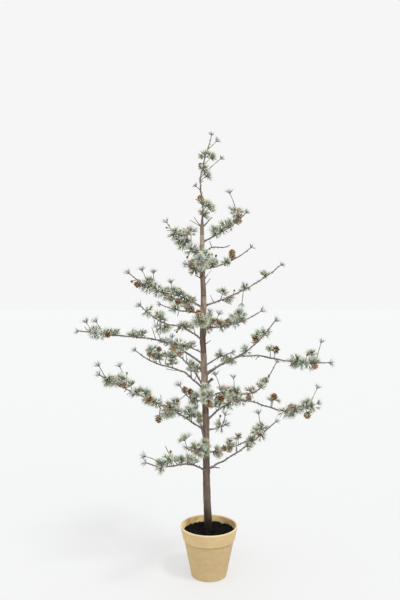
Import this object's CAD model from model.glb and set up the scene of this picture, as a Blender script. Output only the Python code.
"""The looks of the artificial potted larch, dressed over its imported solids.

The tree is grown again by the rule of its source, from the same tables and seeds, and carried on
to finer things: limbs get a bark relief, every rosette becomes sprays of frosted needles, every
cone its spiral of scales. Metres, +Z up, +X to the right of the photograph's view and +Y away.
"""

import math
import random
from collections import namedtuple

import bpy
import numpy as np
from mathutils import Matrix, Vector, noise


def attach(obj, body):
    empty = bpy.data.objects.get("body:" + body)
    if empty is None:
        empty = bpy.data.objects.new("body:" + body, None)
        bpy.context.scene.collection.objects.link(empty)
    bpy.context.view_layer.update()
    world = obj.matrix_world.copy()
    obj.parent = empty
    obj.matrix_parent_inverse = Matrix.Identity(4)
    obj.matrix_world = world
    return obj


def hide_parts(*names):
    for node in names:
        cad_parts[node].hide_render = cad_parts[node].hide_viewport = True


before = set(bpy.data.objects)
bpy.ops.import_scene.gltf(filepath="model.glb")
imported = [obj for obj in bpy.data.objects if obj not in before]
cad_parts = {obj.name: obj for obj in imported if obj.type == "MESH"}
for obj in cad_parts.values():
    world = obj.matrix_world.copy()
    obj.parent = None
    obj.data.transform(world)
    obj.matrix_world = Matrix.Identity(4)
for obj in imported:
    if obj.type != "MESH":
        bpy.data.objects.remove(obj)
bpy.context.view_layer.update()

UP = Vector((0, 0, 1))

# Pot: a tapered shell with a thicker band under its rim
POT_HEIGHT = 0.200
POT_RIM_RADIUS = 0.116
POT_BASE_RADIUS = 0.072
POT_WALL = 0.0035
POT_FLOOR = 0.012
BAND_HEIGHT = 0.053
BAND_PROUD = 0.004
LIP_ROUND = 0.003
BASE_ROUND = 0.003
ROUND_STEPS = 32

# Bed of shreds: heaped towards the trunk, level where the trunk stands
SOIL_TOP = 0.187
SOIL_EDGE = 0.171
SOIL_LEVEL_RADIUS = 0.021
SOIL_SHOULDER_RADIUS = 0.070
SOIL_SHOULDER = 0.177

# Trunk and leader: height, x, y and radius along the one line they share
STEM_LINE = (
    (0.187, -0.003, 0.000, 0.0154),
    (0.235, -0.005, 0.000, 0.0151),
    (0.300, -0.008, 0.001, 0.0149),
    (0.463, -0.011, 0.002, 0.0136),
    (0.658, -0.014, -0.002, 0.0125),
    (0.804, -0.020, 0.000, 0.0119),
    (0.880, -0.021, 0.002, 0.0115),
    (0.950, -0.025, 0.002, 0.0111),
    (1.030, -0.024, 0.001, 0.0110),
    (1.129, -0.022, 0.000, 0.0109),
    (1.220, -0.027, -0.001, 0.0099),
    (1.350, -0.028, 0.001, 0.0081),
    (1.418, -0.028, 0.002, 0.0068),
    (1.440, -0.027, 0.003, 0.0044),
    (1.500, -0.026, 0.004, 0.0034),
    (1.580, -0.035, 0.000, 0.0029),
    (1.683, -0.018, -0.004, 0.0024),
    (1.740, 0.000, 0.000, 0.0019),
    (1.782, 0.010, 0.002, 0.0014),
)
FORK_HEIGHT = 1.418
LEADER_BARE_TOP = 1.446
TRUNK_RING_SPACING = 0.075

# Boughs. A limb and its stem taper together from the trunk to the tip. The step in share on either
# side of a point gives the limb's direction there.
BOUGH_BASE_RADIUS = 0.0026
BOUGH_RADIUS_PER_REACH = 0.0026
BOUGH_TIP_SHARE = 0.60
TANGENT_STEP = 0.01
NEARLY_UPRIGHT = 0.05

# Clumps: a rosette of needles on a spur or a stalk, by turns to either side of its limb
NEEDLE = 0.034
NEEDLE_SPREAD = 0.12
SPUR = 0.008
LONGEST_ROOT = 0.020
ROOT_PAST_AXIS = 0.001
CLUMP_MIDDLE = 0.015
STEEPEST = 0.96
CLUMP_FORWARD = (-0.15, 0.25)
CORE_SHARE = 0.19
SHORT_ROOT = 0.6
FORWARD_LEAN = 32.0
SIDE_LEAN = 70.0
SIDE_TWIST = 24.0
FIRST_BUNDLE = 30.0
BUNDLE_TURN = 120.0
SPIN_TRIES = 8
OTHERS_WEIGHT = 10

# Shoots: a thin bare twig with a small tuft at its end, as at the end of every limb
TIP_NEEDLE = 0.030
LEADER_TIP_NEEDLE = 0.024
TUFT_LEAN = 35.0
SHOOT_STRAY = 0.012
LEADER_LEAN = 46.0
TWIG_BASE_RADIUS = 0.0019
TWIG_TIP_RADIUS = 0.0013

# Cones: woody, by turns to either side of the limb as well
CONE_LENGTH = 0.028
CONE_RADIUS = 0.0120
CONE_SINK = 0.006
CONE_OUT = CONE_LENGTH / 2 - CONE_SINK
CONE_FORWARD = 0.2
CONE_SCALES_FROM_TO = (0.88, 1.10)
CONE_PAST_WOOD = 0.03

# Room that each mass keeps to its neighbours, and how its limb is claimed
CLEARANCE = 0.0008
NEEDLE_RADIUS = 0.0022
TRUNK_CLAIMS = 24
LIMB_CLAIMS = 8
LIMB_CLAIMED_FROM = 0.1

# One bough a row, from the ground up: height of its root on the trunk, azimuth (0 right, 90 away,
# 180 left, 270 near), reach, rise from root to tip, bow (upward at mid length), wave (up then
# down), the share of the reach that is bare limb, and what stands on the rest, by shares of the
# reach. A clump and a cone have the height of their middle over the limb, a shoot the share over
# which it ends and its height there.
Bough = namedtuple("Bough", "height azimuth reach rise bow wave bare clumps cones shoots")
BOUGHS = (
    Bough(0.422, 325, 0.314, 0.233, -0.015, 0.001, 0.40,
          ((0.69, 0.013), (0.60, -0.003), (0.80, 0.008), (0.78, 0.015), (0.77, 0.038), (0.79, 0.044)),
          (), ((0.82, 0.78, 0.084),)),
    Bough(0.416, 230, 0.344, 0.109, 0.008, 0.012, 0.12,
          ((0.24, 0.024), (0.34, 0.034), (0.43, 0.026), (0.68, 0.040), (0.57, 0.034), (0.78, 0.026),
           (0.74, -0.008)), (), ((0.71, 1.01, 0.022),)),
    Bough(0.480, 255, 0.280, 0.100, 0.010, 0.010, 0.00,
          ((0.18, 0.015), (0.15, 0.045), (0.43, -0.012), (0.24, -0.009), (0.61, 0.028), (0.43, 0.012),
           (0.97, 0.048)), ((0.32, 0.000),), ()),
    Bough(0.496, 50, 0.322, -0.006, -0.014, -0.002, 0.14,
          ((0.17, 0.000), (0.55, 0.006), (0.45, 0.042), (0.69, 0.043), (0.90, -0.004), (0.12, 0.048),
           (0.13, 0.066), (0.28, -0.012)), ((0.36, 0.008), (0.50, -0.006)), ()),
    Bough(0.500, 98, 0.380, 0.125, 0.010, 0.010, 0.26,
          ((0.34, 0.006), (0.52, 0.045), (0.68, 0.004), (0.84, 0.016)), ((0.60, -0.006),),
          ((0.72, 0.78, 0.048),)),
    Bough(0.585, 310, 0.116, 0.040, -0.004, 0.000, 0.00,
          ((0.83, 0.013),), (), ((0.84, 0.89, 0.038),)),
    Bough(0.578, 198, 0.428, 0.246, 0.010, 0.006, 0.12,
          ((0.93, -0.018), (0.92, 0.012), (0.86, 0.011), (0.81, 0.044), (0.71, 0.040), (0.59, 0.033),
           (0.55, 0.014), (0.49, -0.003), (0.55, -0.018), (0.34, -0.014), (0.30, 0.050), (0.36, 0.014),
           (0.38, -0.038), (0.28, 0.017), (0.16, 0.050), (0.14, 0.040), (0.66, 0.012)),
          ((0.79, 0.010), (0.55, 0.002), (0.38, -0.005), (0.445, -0.056)),
          ((0.95, 1.01, 0.033), (0.77, 0.82, 0.072))),
    Bough(0.620, 350, 0.443, 0.086, 0.034, 0.037, 0.08,
          ((0.10, 0.036), (0.32, -0.004), (0.21, -0.007), (0.25, 0.001), (0.72, -0.004), (0.77, -0.020),
           (0.80, 0.018), (0.83, 0.004), (0.88, 0.022), (0.91, 0.033), (0.95, -0.006), (0.59, 0.046)),
          ((0.13, 0.044), (0.76, 0.016), (0.60, 0.050), (0.90, -0.032)), ((0.93, 1.00, 0.057),)),
    Bough(0.700, 272, 0.320, 0.080, 0.008, 0.008, 0.16,
          ((0.30, -0.022), (0.40, 0.023), (0.55, 0.044), (0.60, 0.012), (0.85, 0.010)),
          ((0.45, -0.016), (0.60, -0.026)), ()),
    Bough(0.700, 235, 0.170, 0.085, -0.020, 0.005, 0.00,
          ((0.35, 0.024), (0.45, 0.029), (0.42, -0.016)), ((0.75, 0.022), (0.64, 0.026)), ()),
    Bough(0.712, 38, 0.409, 0.119, -0.060, 0.032, 0.12,
          ((0.14, -0.032), (0.29, 0.012), (0.23, -0.011), (0.42, 0.004), (0.40, -0.023), (0.64, 0.014),
           (0.75, 0.024), (0.82, 0.012), (0.22, 0.020), (0.40, 0.020), (0.30, -0.028), (0.40, -0.034)),
          ((0.57, -0.017), (0.84, 0.006)), ((0.21, 0.16, 0.073), (0.37, 0.39, 0.057))),
    Bough(0.750, 112, 0.420, 0.155, 0.010, 0.010, 0.34,
          ((0.42, 0.006), (0.92, 0.030), (0.92, -0.016), (0.86, 0.016)), ((0.74, 0.006),),
          ((0.60, 0.66, 0.045), (0.88, 0.94, 0.040))),
    Bough(0.743, 147, 0.359, 0.146, 0.014, 0.016, 0.10,
          ((0.14, 0.058), (0.18, 0.046), (0.45, 0.060), (0.44, 0.034), (0.55, 0.056), (0.61, 0.052),
           (0.70, 0.035), (0.71, 0.070)), ((0.65, 0.064), (0.67, 0.036), (0.79, 0.027)), ()),
    Bough(0.802, 6, 0.523, 0.050, 0.051, 0.024, 0.46,
          ((0.52, 0.046), (0.72, -0.012), (0.73, 0.026), (0.77, -0.005), (0.78, 0.008), (0.85, 0.052),
           (0.87, 0.021), (0.83, -0.003)), ((0.55, 0.038), (0.88, -0.012)), ((0.89, 0.94, 0.082),)),
    Bough(0.813, 320, 0.339, 0.222, -0.030, 0.008, 0.42,
          ((0.62, 0.008), (0.76, 0.037), (0.87, 0.006)), ((0.75, 0.016),), ()),
    Bough(0.842, 340, 0.115, 0.060, 0.006, 0.000, 0.00,
          ((0.62, 0.011), (0.84, -0.028), (1.00, -0.040)), (), ()),
    Bough(0.848, 174, 0.523, 0.136, 0.043, 0.014, 0.28,
          ((0.31, 0.013), (0.49, 0.027), (0.56, 0.024), (0.70, 0.023), (0.77, 0.024), (0.81, 0.001),
           (0.87, 0.025), (0.86, 0.001)),
          ((0.53, 0.013), (0.76, 0.002)), ((0.89, 0.93, 0.038), (0.80, 0.86, 0.045))),
    Bough(0.895, 200, 0.130, 0.045, 0.006, 0.000, 0.00,
          ((0.40, 0.016), (0.68, -0.002), (0.80, -0.006)), ((0.94, -0.012),), ()),
    Bough(0.918, 85, 0.440, 0.130, 0.012, 0.010, 0.36,
          ((0.42, 0.006), (0.56, 0.018), (0.71, 0.000), (0.86, 0.016)), ((0.55, -0.006),),
          ((0.48, 0.54, 0.035), (0.76, 0.82, 0.035))),
    Bough(0.947, 220, 0.302, 0.142, -0.004, 0.013, 0.10,
          ((0.14, 0.046), (0.31, 0.014), (0.33, 0.016), (0.70, 0.029), (0.68, -0.034), (0.93, -0.009),
           (0.70, 0.036), (0.64, -0.030)), ((0.60, -0.018),), ()),
    Bough(1.003, 266, 0.280, 0.045, 0.010, 0.006, 0.00,
          ((0.30, -0.004), (0.20, 0.021), (0.80, -0.019), (0.45, -0.014), (0.60, 0.009), (0.75, 0.004)),
          ((0.45, 0.028), (0.88, 0.012)), ()),
    Bough(1.003, 336, 0.246, 0.066, -0.022, 0.000, 0.00,
          ((0.18, 0.034), (0.66, 0.018), (0.31, 0.024), (0.34, 0.007), (0.51, 0.027), (0.54, 0.044),
           (0.56, 0.007), (0.60, 0.054)), ((0.24, 0.024), (0.42, 0.016)), ((0.21, 0.30, 0.050),)),
    Bough(1.062, 130, 0.294, 0.031, -0.010, 0.001, 0.00,
          ((0.32, 0.024), (0.60, 0.014), (0.39, 0.039)), ((0.26, 0.010),), ()),
    Bough(1.089, 25, 0.370, 0.175, -0.022, 0.001, 0.16,
          ((0.21, 0.044), (0.53, 0.007), (0.31, -0.016), (0.79, 0.027)), (), ((0.50, 0.48, -0.050),)),
    Bough(1.080, 195, 0.301, 0.136, -0.008, 0.012, 0.12,
          ((0.15, 0.006), (0.27, 0.002), (0.26, -0.020), (0.44, -0.031), (0.35, 0.023), (0.41, 0.031),
           (0.51, 0.012), (0.54, -0.010), (0.62, 0.000), (0.74, 0.038), (0.71, 0.026), (0.76, 0.000),
           (0.82, -0.008)), ((0.17, 0.004), (0.34, -0.024), (0.32, 0.020), (0.89, -0.016)),
          ((0.76, 0.83, 0.050), (0.65, 0.69, 0.061), (0.42, 0.45, 0.042))),
    Bough(1.215, 98, 0.260, 0.060, 0.005, 0.006, 0.30,
          ((0.40, 0.006), (0.58, 0.018), (0.78, 0.004)), ((0.56, -0.006),), ((0.80, 0.84, 0.032),)),
    Bough(1.215, 238, 0.120, 0.037, 0.004, 0.000, 0.00,
          ((0.38, 0.046), (0.50, -0.020), (0.40, 0.020)), ((0.60, 0.007),), ()),
    Bough(1.238, 15, 0.208, 0.092, -0.018, 0.001, 0.12,
          ((0.18, 0.022), (0.25, 0.032), (0.48, 0.012)), ((0.60, 0.017), (0.60, 0.034)), ()),
    Bough(1.235, 267, 0.200, 0.030, 0.006, 0.000, 0.00,
          ((0.30, 0.014), (0.25, 0.060), (0.60, 0.024), (0.45, 0.007), (0.80, -0.023), (0.75, 0.000)),
          (), ()),
    Bough(1.282, 166, 0.149, 0.150, -0.017, 0.005, 0.14,
          ((0.21, 0.009), (0.30, 0.007), (0.55, -0.012), (0.37, 0.068), (0.48, 0.030), (0.64, -0.012),
           (0.80, -0.022), (0.73, 0.032), (0.31, 0.090)), ((0.57, 0.038),), ()),
    Bough(1.290, 95, 0.200, 0.005, 0.004, 0.000, 0.00,
          ((0.40, 0.006), (0.60, 0.018), (0.80, 0.004)), ((0.58, -0.004),), ((0.68, 0.74, 0.034),)),
    Bough(1.296, 350, 0.114, 0.037, 0.012, 0.007, 1.00,
          (), (), ()),
    Bough(1.348, 345, 0.179, 0.111, -0.012, 0.002, 0.22,
          ((0.29, 0.036), (0.28, 0.017), (0.47, 0.006), (0.54, 0.035), (0.67, 0.007), (0.82, 0.050),
           (0.85, 0.030), (0.74, 0.066)), ((0.60, 0.010), (0.82, 0.000)), ((0.81, 0.65, 0.131),)),
)
# The same for the leader by height: a clump with azimuth and stalk, a cone with its azimuth, and a
# shoot with azimuth and length
LEADER_CLUMPS = ((1.450, 330, 0.012), (1.475, 340, 0.030), (1.456, 5, 0.044), (1.497, 300, 0.000),
                 (1.595, 5, 0.036), (1.633, 330, 0.018), (1.663, 0, 0.042), (1.690, 255, 0.000))
LEADER_CONES = ((1.520, 180), (1.652, 185))
LEADER_SHOOTS = ((1.610, 6, 0.112), (1.556, 190, 0.026), (1.727, 10, 0.046))
LEADER_SEED = 500
BOUGH_SEED = 100


def polar(azimuth, lean=90.0):
    """Unit vector at an azimuth and a lean away from +Z, both in degrees."""
    turn, tilt = math.radians(azimuth), math.radians(lean)
    return Vector((math.cos(turn) * math.sin(tilt), math.sin(turn) * math.sin(tilt), math.cos(tilt)))


def stem_point(height):
    """Centre and radius of the trunk's or leader's line, smoothly between its stations."""
    table = np.array(STEM_LINE)
    slopes = np.gradient(table[:, 1:], table[:, 0], axis=0)
    low = int(np.clip(np.searchsorted(table[:, 0], height) - 1, 0, len(table) - 2))
    step = table[low + 1, 0] - table[low, 0]
    s = (height - table[low, 0]) / step
    ends = (2 * s**3 - 3 * s**2 + 1, s**3 - 2 * s**2 + s, -2 * s**3 + 3 * s**2, s**3 - s**2)
    value = (ends[0] * table[low, 1:] + ends[1] * step * slopes[low]
             + ends[2] * table[low + 1, 1:] + ends[3] * step * slopes[low + 1])
    return Vector((value[0], value[1], height)), float(value[2])


class Limb:
    """The centreline of a bough, from share 0 at the trunk's middle to share 1 at its tip."""

    tip_needle = TIP_NEEDLE

    def __init__(self, name, row):
        self.name = name
        self.row = row
        self.bare = row.bare
        self.length = math.hypot(row.reach, row.rise)
        self.root = stem_point(row.height)[0]
        self.outward = polar(row.azimuth)
        self.base_radius = BOUGH_BASE_RADIUS + BOUGH_RADIUS_PER_REACH * row.reach

    def point(self, share):
        row = self.row
        lift = row.rise * share + 4 * row.bow * share * (1 - share)
        lift += row.wave * math.sin(2 * math.pi * share)
        return self.root + self.outward * (row.reach * share) + Vector((0, 0, lift))

    def tangent(self, share):
        return (self.point(share + TANGENT_STEP) - self.point(share - TANGENT_STEP)).normalized()

    def radius(self, share):
        return self.base_radius * (1 - (1 - BOUGH_TIP_SHARE) * share)


class Leader(Limb):
    """The same for the leader, from share 0 at the fork to share 1 at the top of the tree."""

    tip_needle = LEADER_TIP_NEEDLE

    def __init__(self, name):
        self.name = name
        self.top = STEM_LINE[-1][0]
        self.length = self.top - FORK_HEIGHT
        self.bare = self.share(LEADER_BARE_TOP)

    def share(self, height):
        return (height - FORK_HEIGHT) / self.length

    def point(self, share):
        height = FORK_HEIGHT + self.length * share
        low, high = STEM_LINE[0][0], self.top
        if low <= height <= high:
            return stem_point(height)[0]
        edge = min(max(height, low), high)
        return stem_point(edge)[0] + Vector((0, 0, height - edge))

    def radius(self, share):
        return stem_point(FORK_HEIGHT + self.length * min(max(share, 0.0), 1.0))[1]


# What each mass grows. Every twig, rosette and cone is first a few straight segments with a
# radius, which must stay clear of every segment that another mass, limb or the trunk has claimed.
Twig = namedtuple("Twig", "start end")
Rosette = namedtuple("Rosette", "centre axis needle spin root")
Tuft = namedtuple("Tuft", "centre axis needle spin")
Fruit = namedtuple("Fruit", "centre axis scale")


def turned_to(axis, spin=0.0):
    """Rotation that takes +Z to an axis, after a spin about it in degrees."""
    facing = UP.rotation_difference(axis).to_matrix()
    return facing @ Matrix.Rotation(math.radians(spin), 3, "Z")


def bundle_directions():
    """A rosette's six bundles of needles about +Z: three lean forward, three stand out sideways."""
    turns = [FIRST_BUNDLE + BUNDLE_TURN * i for i in range(3)]
    forward = [polar(turn, FORWARD_LEAN) for turn in turns]
    return forward, [polar(turn + SIDE_TWIST, SIDE_LEAN) for turn in turns]


def tuft_directions():
    """A tuft's three bundles about +Z."""
    return [polar(FIRST_BUNDLE + BUNDLE_TURN * i, TUFT_LEAN) for i in range(3)]


def claim_of(item):
    """An item's segments as (start, end, radius)."""
    if isinstance(item, Twig):
        return [(item.start, item.end, TWIG_BASE_RADIUS)]
    if isinstance(item, Fruit):
        half = item.axis * (CONE_LENGTH * item.scale / 2 - CONE_RADIUS * item.scale / 2)
        return [(item.centre - half, item.centre + half, CONE_RADIUS * item.scale)]
    turn = turned_to(item.axis, item.spin)
    forward, sideways = bundle_directions()
    directions = tuft_directions() if isinstance(item, Tuft) else forward + sideways
    return [(item.centre, item.centre + turn @ direction * item.needle, NEEDLE_RADIUS)
            for direction in directions]


def segment_gaps(start, end, starts, ends, tiny=1e-12):
    """Distances from one segment to many."""
    u, v, w = end - start, ends - starts, start - starts
    a, b, c = u @ u, v @ u, np.sum(v * v, axis=1)
    d, e = w @ u, np.sum(v * w, axis=1)
    steep = np.maximum(a * c - b * b, tiny)
    s = np.clip((b * e - c * d) / steep, 0, 1)
    t = np.clip((b * s + e) / np.maximum(c, tiny), 0, 1)
    s = np.clip((b * t - d) / max(a, tiny), 0, 1)
    apart = w + s[:, None] * u - t[:, None] * v
    return np.sqrt(np.sum(apart * apart, axis=1))


def crossings(segments, taken, clearance):
    """How many pairs of a segment and a taken row come closer than their radii and a clearance."""
    if len(taken) == 0:
        return 0
    count = 0
    for start, end, radius in segments:
        gaps = segment_gaps(np.array(start), np.array(end), taken[:, 0:3], taken[:, 3:6])
        count += int(np.sum(gaps < taken[:, 6] + radius + clearance))
    return count


class Space:
    """The segments that are taken, each with the name of the tree's part that took it."""

    def __init__(self):
        self.rows = []
        self.owners = []

    def take(self, owner, segments):
        for start, end, radius in segments:
            self.rows.append((*start, *end, radius))
            self.owners.append(owner)

    def taken_by_others(self, owner):
        return np.array(self.rows)[np.array(self.owners) != owner]


def sideways_of(tangent):
    """A level vector square to a tangent, and one square to both that points up."""
    level = UP.cross(tangent)
    level = level.normalized() if level.length > NEARLY_UPRIGHT else Vector((1, 0, 0))
    return level, tangent.cross(level).normalized()


def around(tangent, degrees):
    """A vector square to a tangent: 0 is level, 90 is up."""
    level, rise = sideways_of(tangent)
    turn = math.radians(degrees)
    return level * math.cos(turn) + rise * math.sin(turn)


def varied(length, rng):
    return length * rng.uniform(1 - NEEDLE_SPREAD, 1 + NEEDLE_SPREAD)


def off_limb(limb, number, share, height, middle, forward):
    """The way to a thing that stands to one side of the limb or the other, and how far it is.

    middle is the distance to the middle of one that stands on the limb itself.
    """
    tangent = limb.tangent(share)
    side = sideways_of(tangent)[0] * (1 if number % 2 else -1)
    steep = min(max(height / middle, -STEEPEST), STEEPEST)
    facing = side * math.sqrt(1 - steep ** 2) + UP * steep + tangent * forward
    return facing.normalized(), max(middle, abs(height) / STEEPEST)


def clump_at(start, facing, stalk, rng):
    """A rosette on its spur, or at the end of a stalk."""
    end = start + facing * stalk
    needle, spin = varied(NEEDLE, rng), rng.uniform(0, BUNDLE_TURN)
    if stalk <= LONGEST_ROOT:
        return [Rosette(end, facing, needle, spin, stalk + ROOT_PAST_AXIS)]
    return [Twig(start, end), Rosette(end, facing, needle, spin, needle * CORE_SHARE * SHORT_ROOT)]


def cone_at(start, facing, stalk, rng):
    """A cone whose root is sunk in the stem, or in the end of a stalk."""
    scale = rng.uniform(*CONE_SCALES_FROM_TO)
    cone = Fruit(start + facing * (stalk + CONE_OUT * scale), facing, scale)
    return [Twig(start, start + facing * stalk), cone] if stalk > CONE_SINK / 2 else [cone]


def grow_clump(limb, number, rng, share, height):
    """A rosette to one side of the limb and then to the other, its middle at a height over it."""
    forward = rng.uniform(*CLUMP_FORWARD)
    facing, away = off_limb(limb, number, share, height, SPUR + CLUMP_MIDDLE, forward)
    return clump_at(limb.point(share), facing, away - CLUMP_MIDDLE, rng)


def grow_cone(limb, number, rng, share, height):
    """The same for a cone."""
    here = max(share, limb.bare + CONE_PAST_WOOD)
    facing, away = off_limb(limb, number, here, height, CONE_OUT, CONE_FORWARD)
    return cone_at(limb.point(here), facing, away - CONE_OUT, rng)


def shoot_to(start, end, needle, rng):
    """A thin twig with a tuft at its end."""
    tuft = Tuft(end, (end - start).normalized(), varied(needle, rng), rng.uniform(0, BUNDLE_TURN))
    return [Twig(start, end), tuft]


def grow_shoot(limb, rng, share, over, height):
    """A shoot that rises, or hangs, from one share of the reach to a height over another."""
    side = sideways_of(limb.tangent(share))[0] * rng.uniform(-SHOOT_STRAY, SHOOT_STRAY)
    return shoot_to(limb.point(share), limb.point(over) + UP * height + side, limb.tip_needle, rng)


def grow_mass(limb, seed, space):
    """Everything that stands on one stem, less what would leave the mass's own space."""
    rng = random.Random(seed)
    groups = []
    for number, clump in enumerate(limb.row.clumps):
        groups.append(grow_clump(limb, number, rng, *clump))
    for shoot in limb.row.shoots:
        groups.append(grow_shoot(limb, rng, *shoot))
    for number, cone in enumerate(limb.row.cones):
        groups.append(grow_cone(limb, number, rng, *cone))
    return kept_clear(limb, groups, rng, space)


def grow_leader(leader, seed, space):
    """The same for the leader, whose clumps and shoots leave it at an azimuth."""
    rng = random.Random(seed)
    groups = []
    for height, azimuth, stalk in LEADER_CLUMPS:
        start = leader.point(leader.share(height))
        groups.append(clump_at(start, polar(azimuth, LEADER_LEAN), max(stalk, SPUR), rng))
    for height, azimuth, length in LEADER_SHOOTS:
        start = leader.point(leader.share(height))
        end = start + polar(azimuth, LEADER_LEAN) * length
        groups.append(shoot_to(start, end, leader.tip_needle, rng))
    for height, azimuth in LEADER_CONES:
        start = leader.point(leader.share(height))
        groups.append(cone_at(start, polar(azimuth, LEADER_LEAN), 0.0, rng))
    return kept_clear(leader, groups, rng, space)


def kept_clear(limb, groups, rng, space):
    """The groups, and the tuft at the tip, that touch no other mass, limb or trunk."""
    needle, spin = varied(limb.tip_needle, rng), rng.uniform(0, BUNDLE_TURN)
    groups = groups + [[Tuft(limb.point(1.0), limb.tangent(1.0), needle, spin)]]
    kept, own, others = [], [], space.taken_by_others(limb.name)
    for group in groups:
        group = [spun_clear(item, own, others) if isinstance(item, (Rosette, Tuft)) else item
                 for item in group]
        segments = [segment for item in group for segment in claim_of(item)]
        if crossings(segments, others, CLEARANCE) == 0:
            space.take(limb.name, segments)
            own += [(*start, *end, radius) for start, end, radius in segments]
            kept += group
    return kept


def spun_clear(spray, own, others):
    """The spray turned about its axis to the spin that crosses fewest needles and limbs."""
    best, fewest = spray, None
    for k in range(SPIN_TRIES):
        turned = spray._replace(spin=spray.spin + BUNDLE_TURN / SPIN_TRIES * k)
        segments = claim_of(turned)
        count = crossings(segments, np.array(own), 0)
        count += OTHERS_WEIGHT * crossings(segments, others, CLEARANCE)
        if fewest is None or count < fewest:
            best, fewest = turned, count
        if count == 0:
            break
    return best


def claim_run(space, owner, limb, low, high):
    """Take a stretch of a limb's own line."""
    shares = np.linspace(low, high, LIMB_CLAIMS + 1) if high > low else []
    space.take(owner, [(limb.point(a), limb.point(b), limb.radius(a))
                       for a, b in zip(shares, shares[1:])])


def plan_tree():
    """Every limb with what grows on it, worked out from the tables above."""
    limbs = [Limb(f"{number:02d}", row) for number, row in enumerate(BOUGHS, start=1)]
    leader = Leader("leader")
    space = Space()
    heights = np.linspace(STEM_LINE[0][0], FORK_HEIGHT, TRUNK_CLAIMS)
    stations = [stem_point(float(height)) for height in heights]
    space.take("trunk", [(a[0], b[0], max(a[1], b[1])) for a, b in zip(stations, stations[1:])])
    for limb in limbs + [leader]:
        claim_run(space, "wood_" + limb.name, limb, LIMB_CLAIMED_FROM, limb.bare)
        claim_run(space, limb.name, limb, limb.bare, 1.0)
    masses = {}
    for number, limb in enumerate(limbs, start=1):
        if limb.bare < 1:
            masses[limb.name] = grow_mass(limb, BOUGH_SEED + number, space)
    masses[leader.name] = grow_leader(leader, LEADER_SEED, space)
    return limbs, leader, masses


# The camera of the photograph: 246 pixels to a metre at the trunk
CAMERA_PLACE = (-0.0366, -2.345, 1.113)
CAMERA_SENSOR = 36.0
CAMERA_PIXELS_PER_TANGENT = 577.0
PHOTO_HEIGHT = 600.0

# Lights: name, energy, angular width in degrees, and the way to it
SUNS = (("key", 1.08, 12.0, (0.40, -0.38, 1.00)), ("side", 0.30, 26.0, (0.75, -0.95, 0.72)),
        ("fill", 0.38, 60.0, (-0.90, -0.50, 0.22)))

# Trunk: bark wrapped round a pole in lengths, with a joint where one length ends on the next
TRUNK_SIDES = 44
TRUNK_RING = 0.0035
TRUNK_SUNK = 0.010
WRAP_STEP = 0.0004
JOINT_DEPTH = 0.0007
JOINT_WIDTH = 0.0016
PLATE_HEIGHT = 0.055
PLATE_WIDTH = 0.0055
PLATE_DEPTH = 0.0008
LUMP_SIZE = 0.022
LUMP_DEPTH = 0.0007
KNOT_HEIGHT = 0.013
KNOT_WIDTH = 0.010
KNOT_DEPTH = 0.0026
# The lengths of bark from the ground up: where each starts and its tone, 0 dark to 3 light
WRAPS = ((0.170, 0), (0.300, 0), (0.395, 0), (0.478, 2), (0.560, 1), (0.652, 0), (0.694, 1), (0.735, 2),
         (0.815, 2), (0.894, 0), (0.950, 0), (1.022, 1), (1.060, 2), (1.129, 1), (1.204, 0), (1.250, 1),
         (1.292, 2), (1.336, 3), (1.374, 2))
DARK_JOINTS = (1.129,)

# Limbs: a wired core wrapped in paper bark, with knuckles where it was knotted
LIMB_SIDES = 10
LIMB_RING = 0.0032
LIMB_START = 0.004
CROOK = 0.0016
CROOK_LENGTH = 0.042
COLLAR_SHARE = 0.45
COLLAR_LENGTH = 0.009
RELIEF_GRAIN = 0.0045
RELIEF_SHARE = 0.16
KNUCKLE_SPACING = 0.026
KNUCKLE_WIDTH = 0.0030
KNUCKLE_SHARE = 0.30
SPUR_SPACING = 0.013
SPUR_LENGTHS = (0.0025, 0.0065)
SPUR_RADIUS = 0.0016

# Twigs
TWIG_SIDES = 6
TWIG_RING = 0.0040
TWIG_BEND = 0.07
TWIG_RELIEF = 0.22

# Brushes of needles: a full spray, and smaller ones beside it on the same knot of wood
NEEDLE_HALF_WIDTH = 0.0011
NEEDLE_FLATNESS = 0.55
NEEDLE_BEND = 0.05
NEEDLE_LENGTHS = (0.72, 1.0)
BRUSH_NEEDLES = 30
BRUSH_REACH = 1.0
BRUSH_SPREAD = 44.0
BESIDE = 8
BESIDE_NEEDLES = 14
BESIDE_REACH = (0.68, 0.95)
BESIDE_SPREAD = 28.0
BESIDE_ASIDE = (0.003, 0.012)
BESIDE_BACK = (-0.004, 0.008)
BESIDE_LEAN = (35.0, 95.0)
SHEATH_NEEDLES = 10
SHEATH_LENGTH = 0.013
SHEATH_HALF_WIDTH = 0.0014
KNOT_RADIUS = 0.0021

# A ruff of needles round the foot of each cone
RUFF = 4
RUFF_NEEDLES = 12
RUFF_REACH = (0.020, 0.028)
RUFF_LEAN = (35.0, 85.0)

# Tufts at the ends of limbs and shoots
TUFT_NEEDLES = 30
TUFT_HALF_WIDTH = 0.0010
TUFT_REACH = 1.08
TUFT_SPREAD = 62.0

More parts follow.
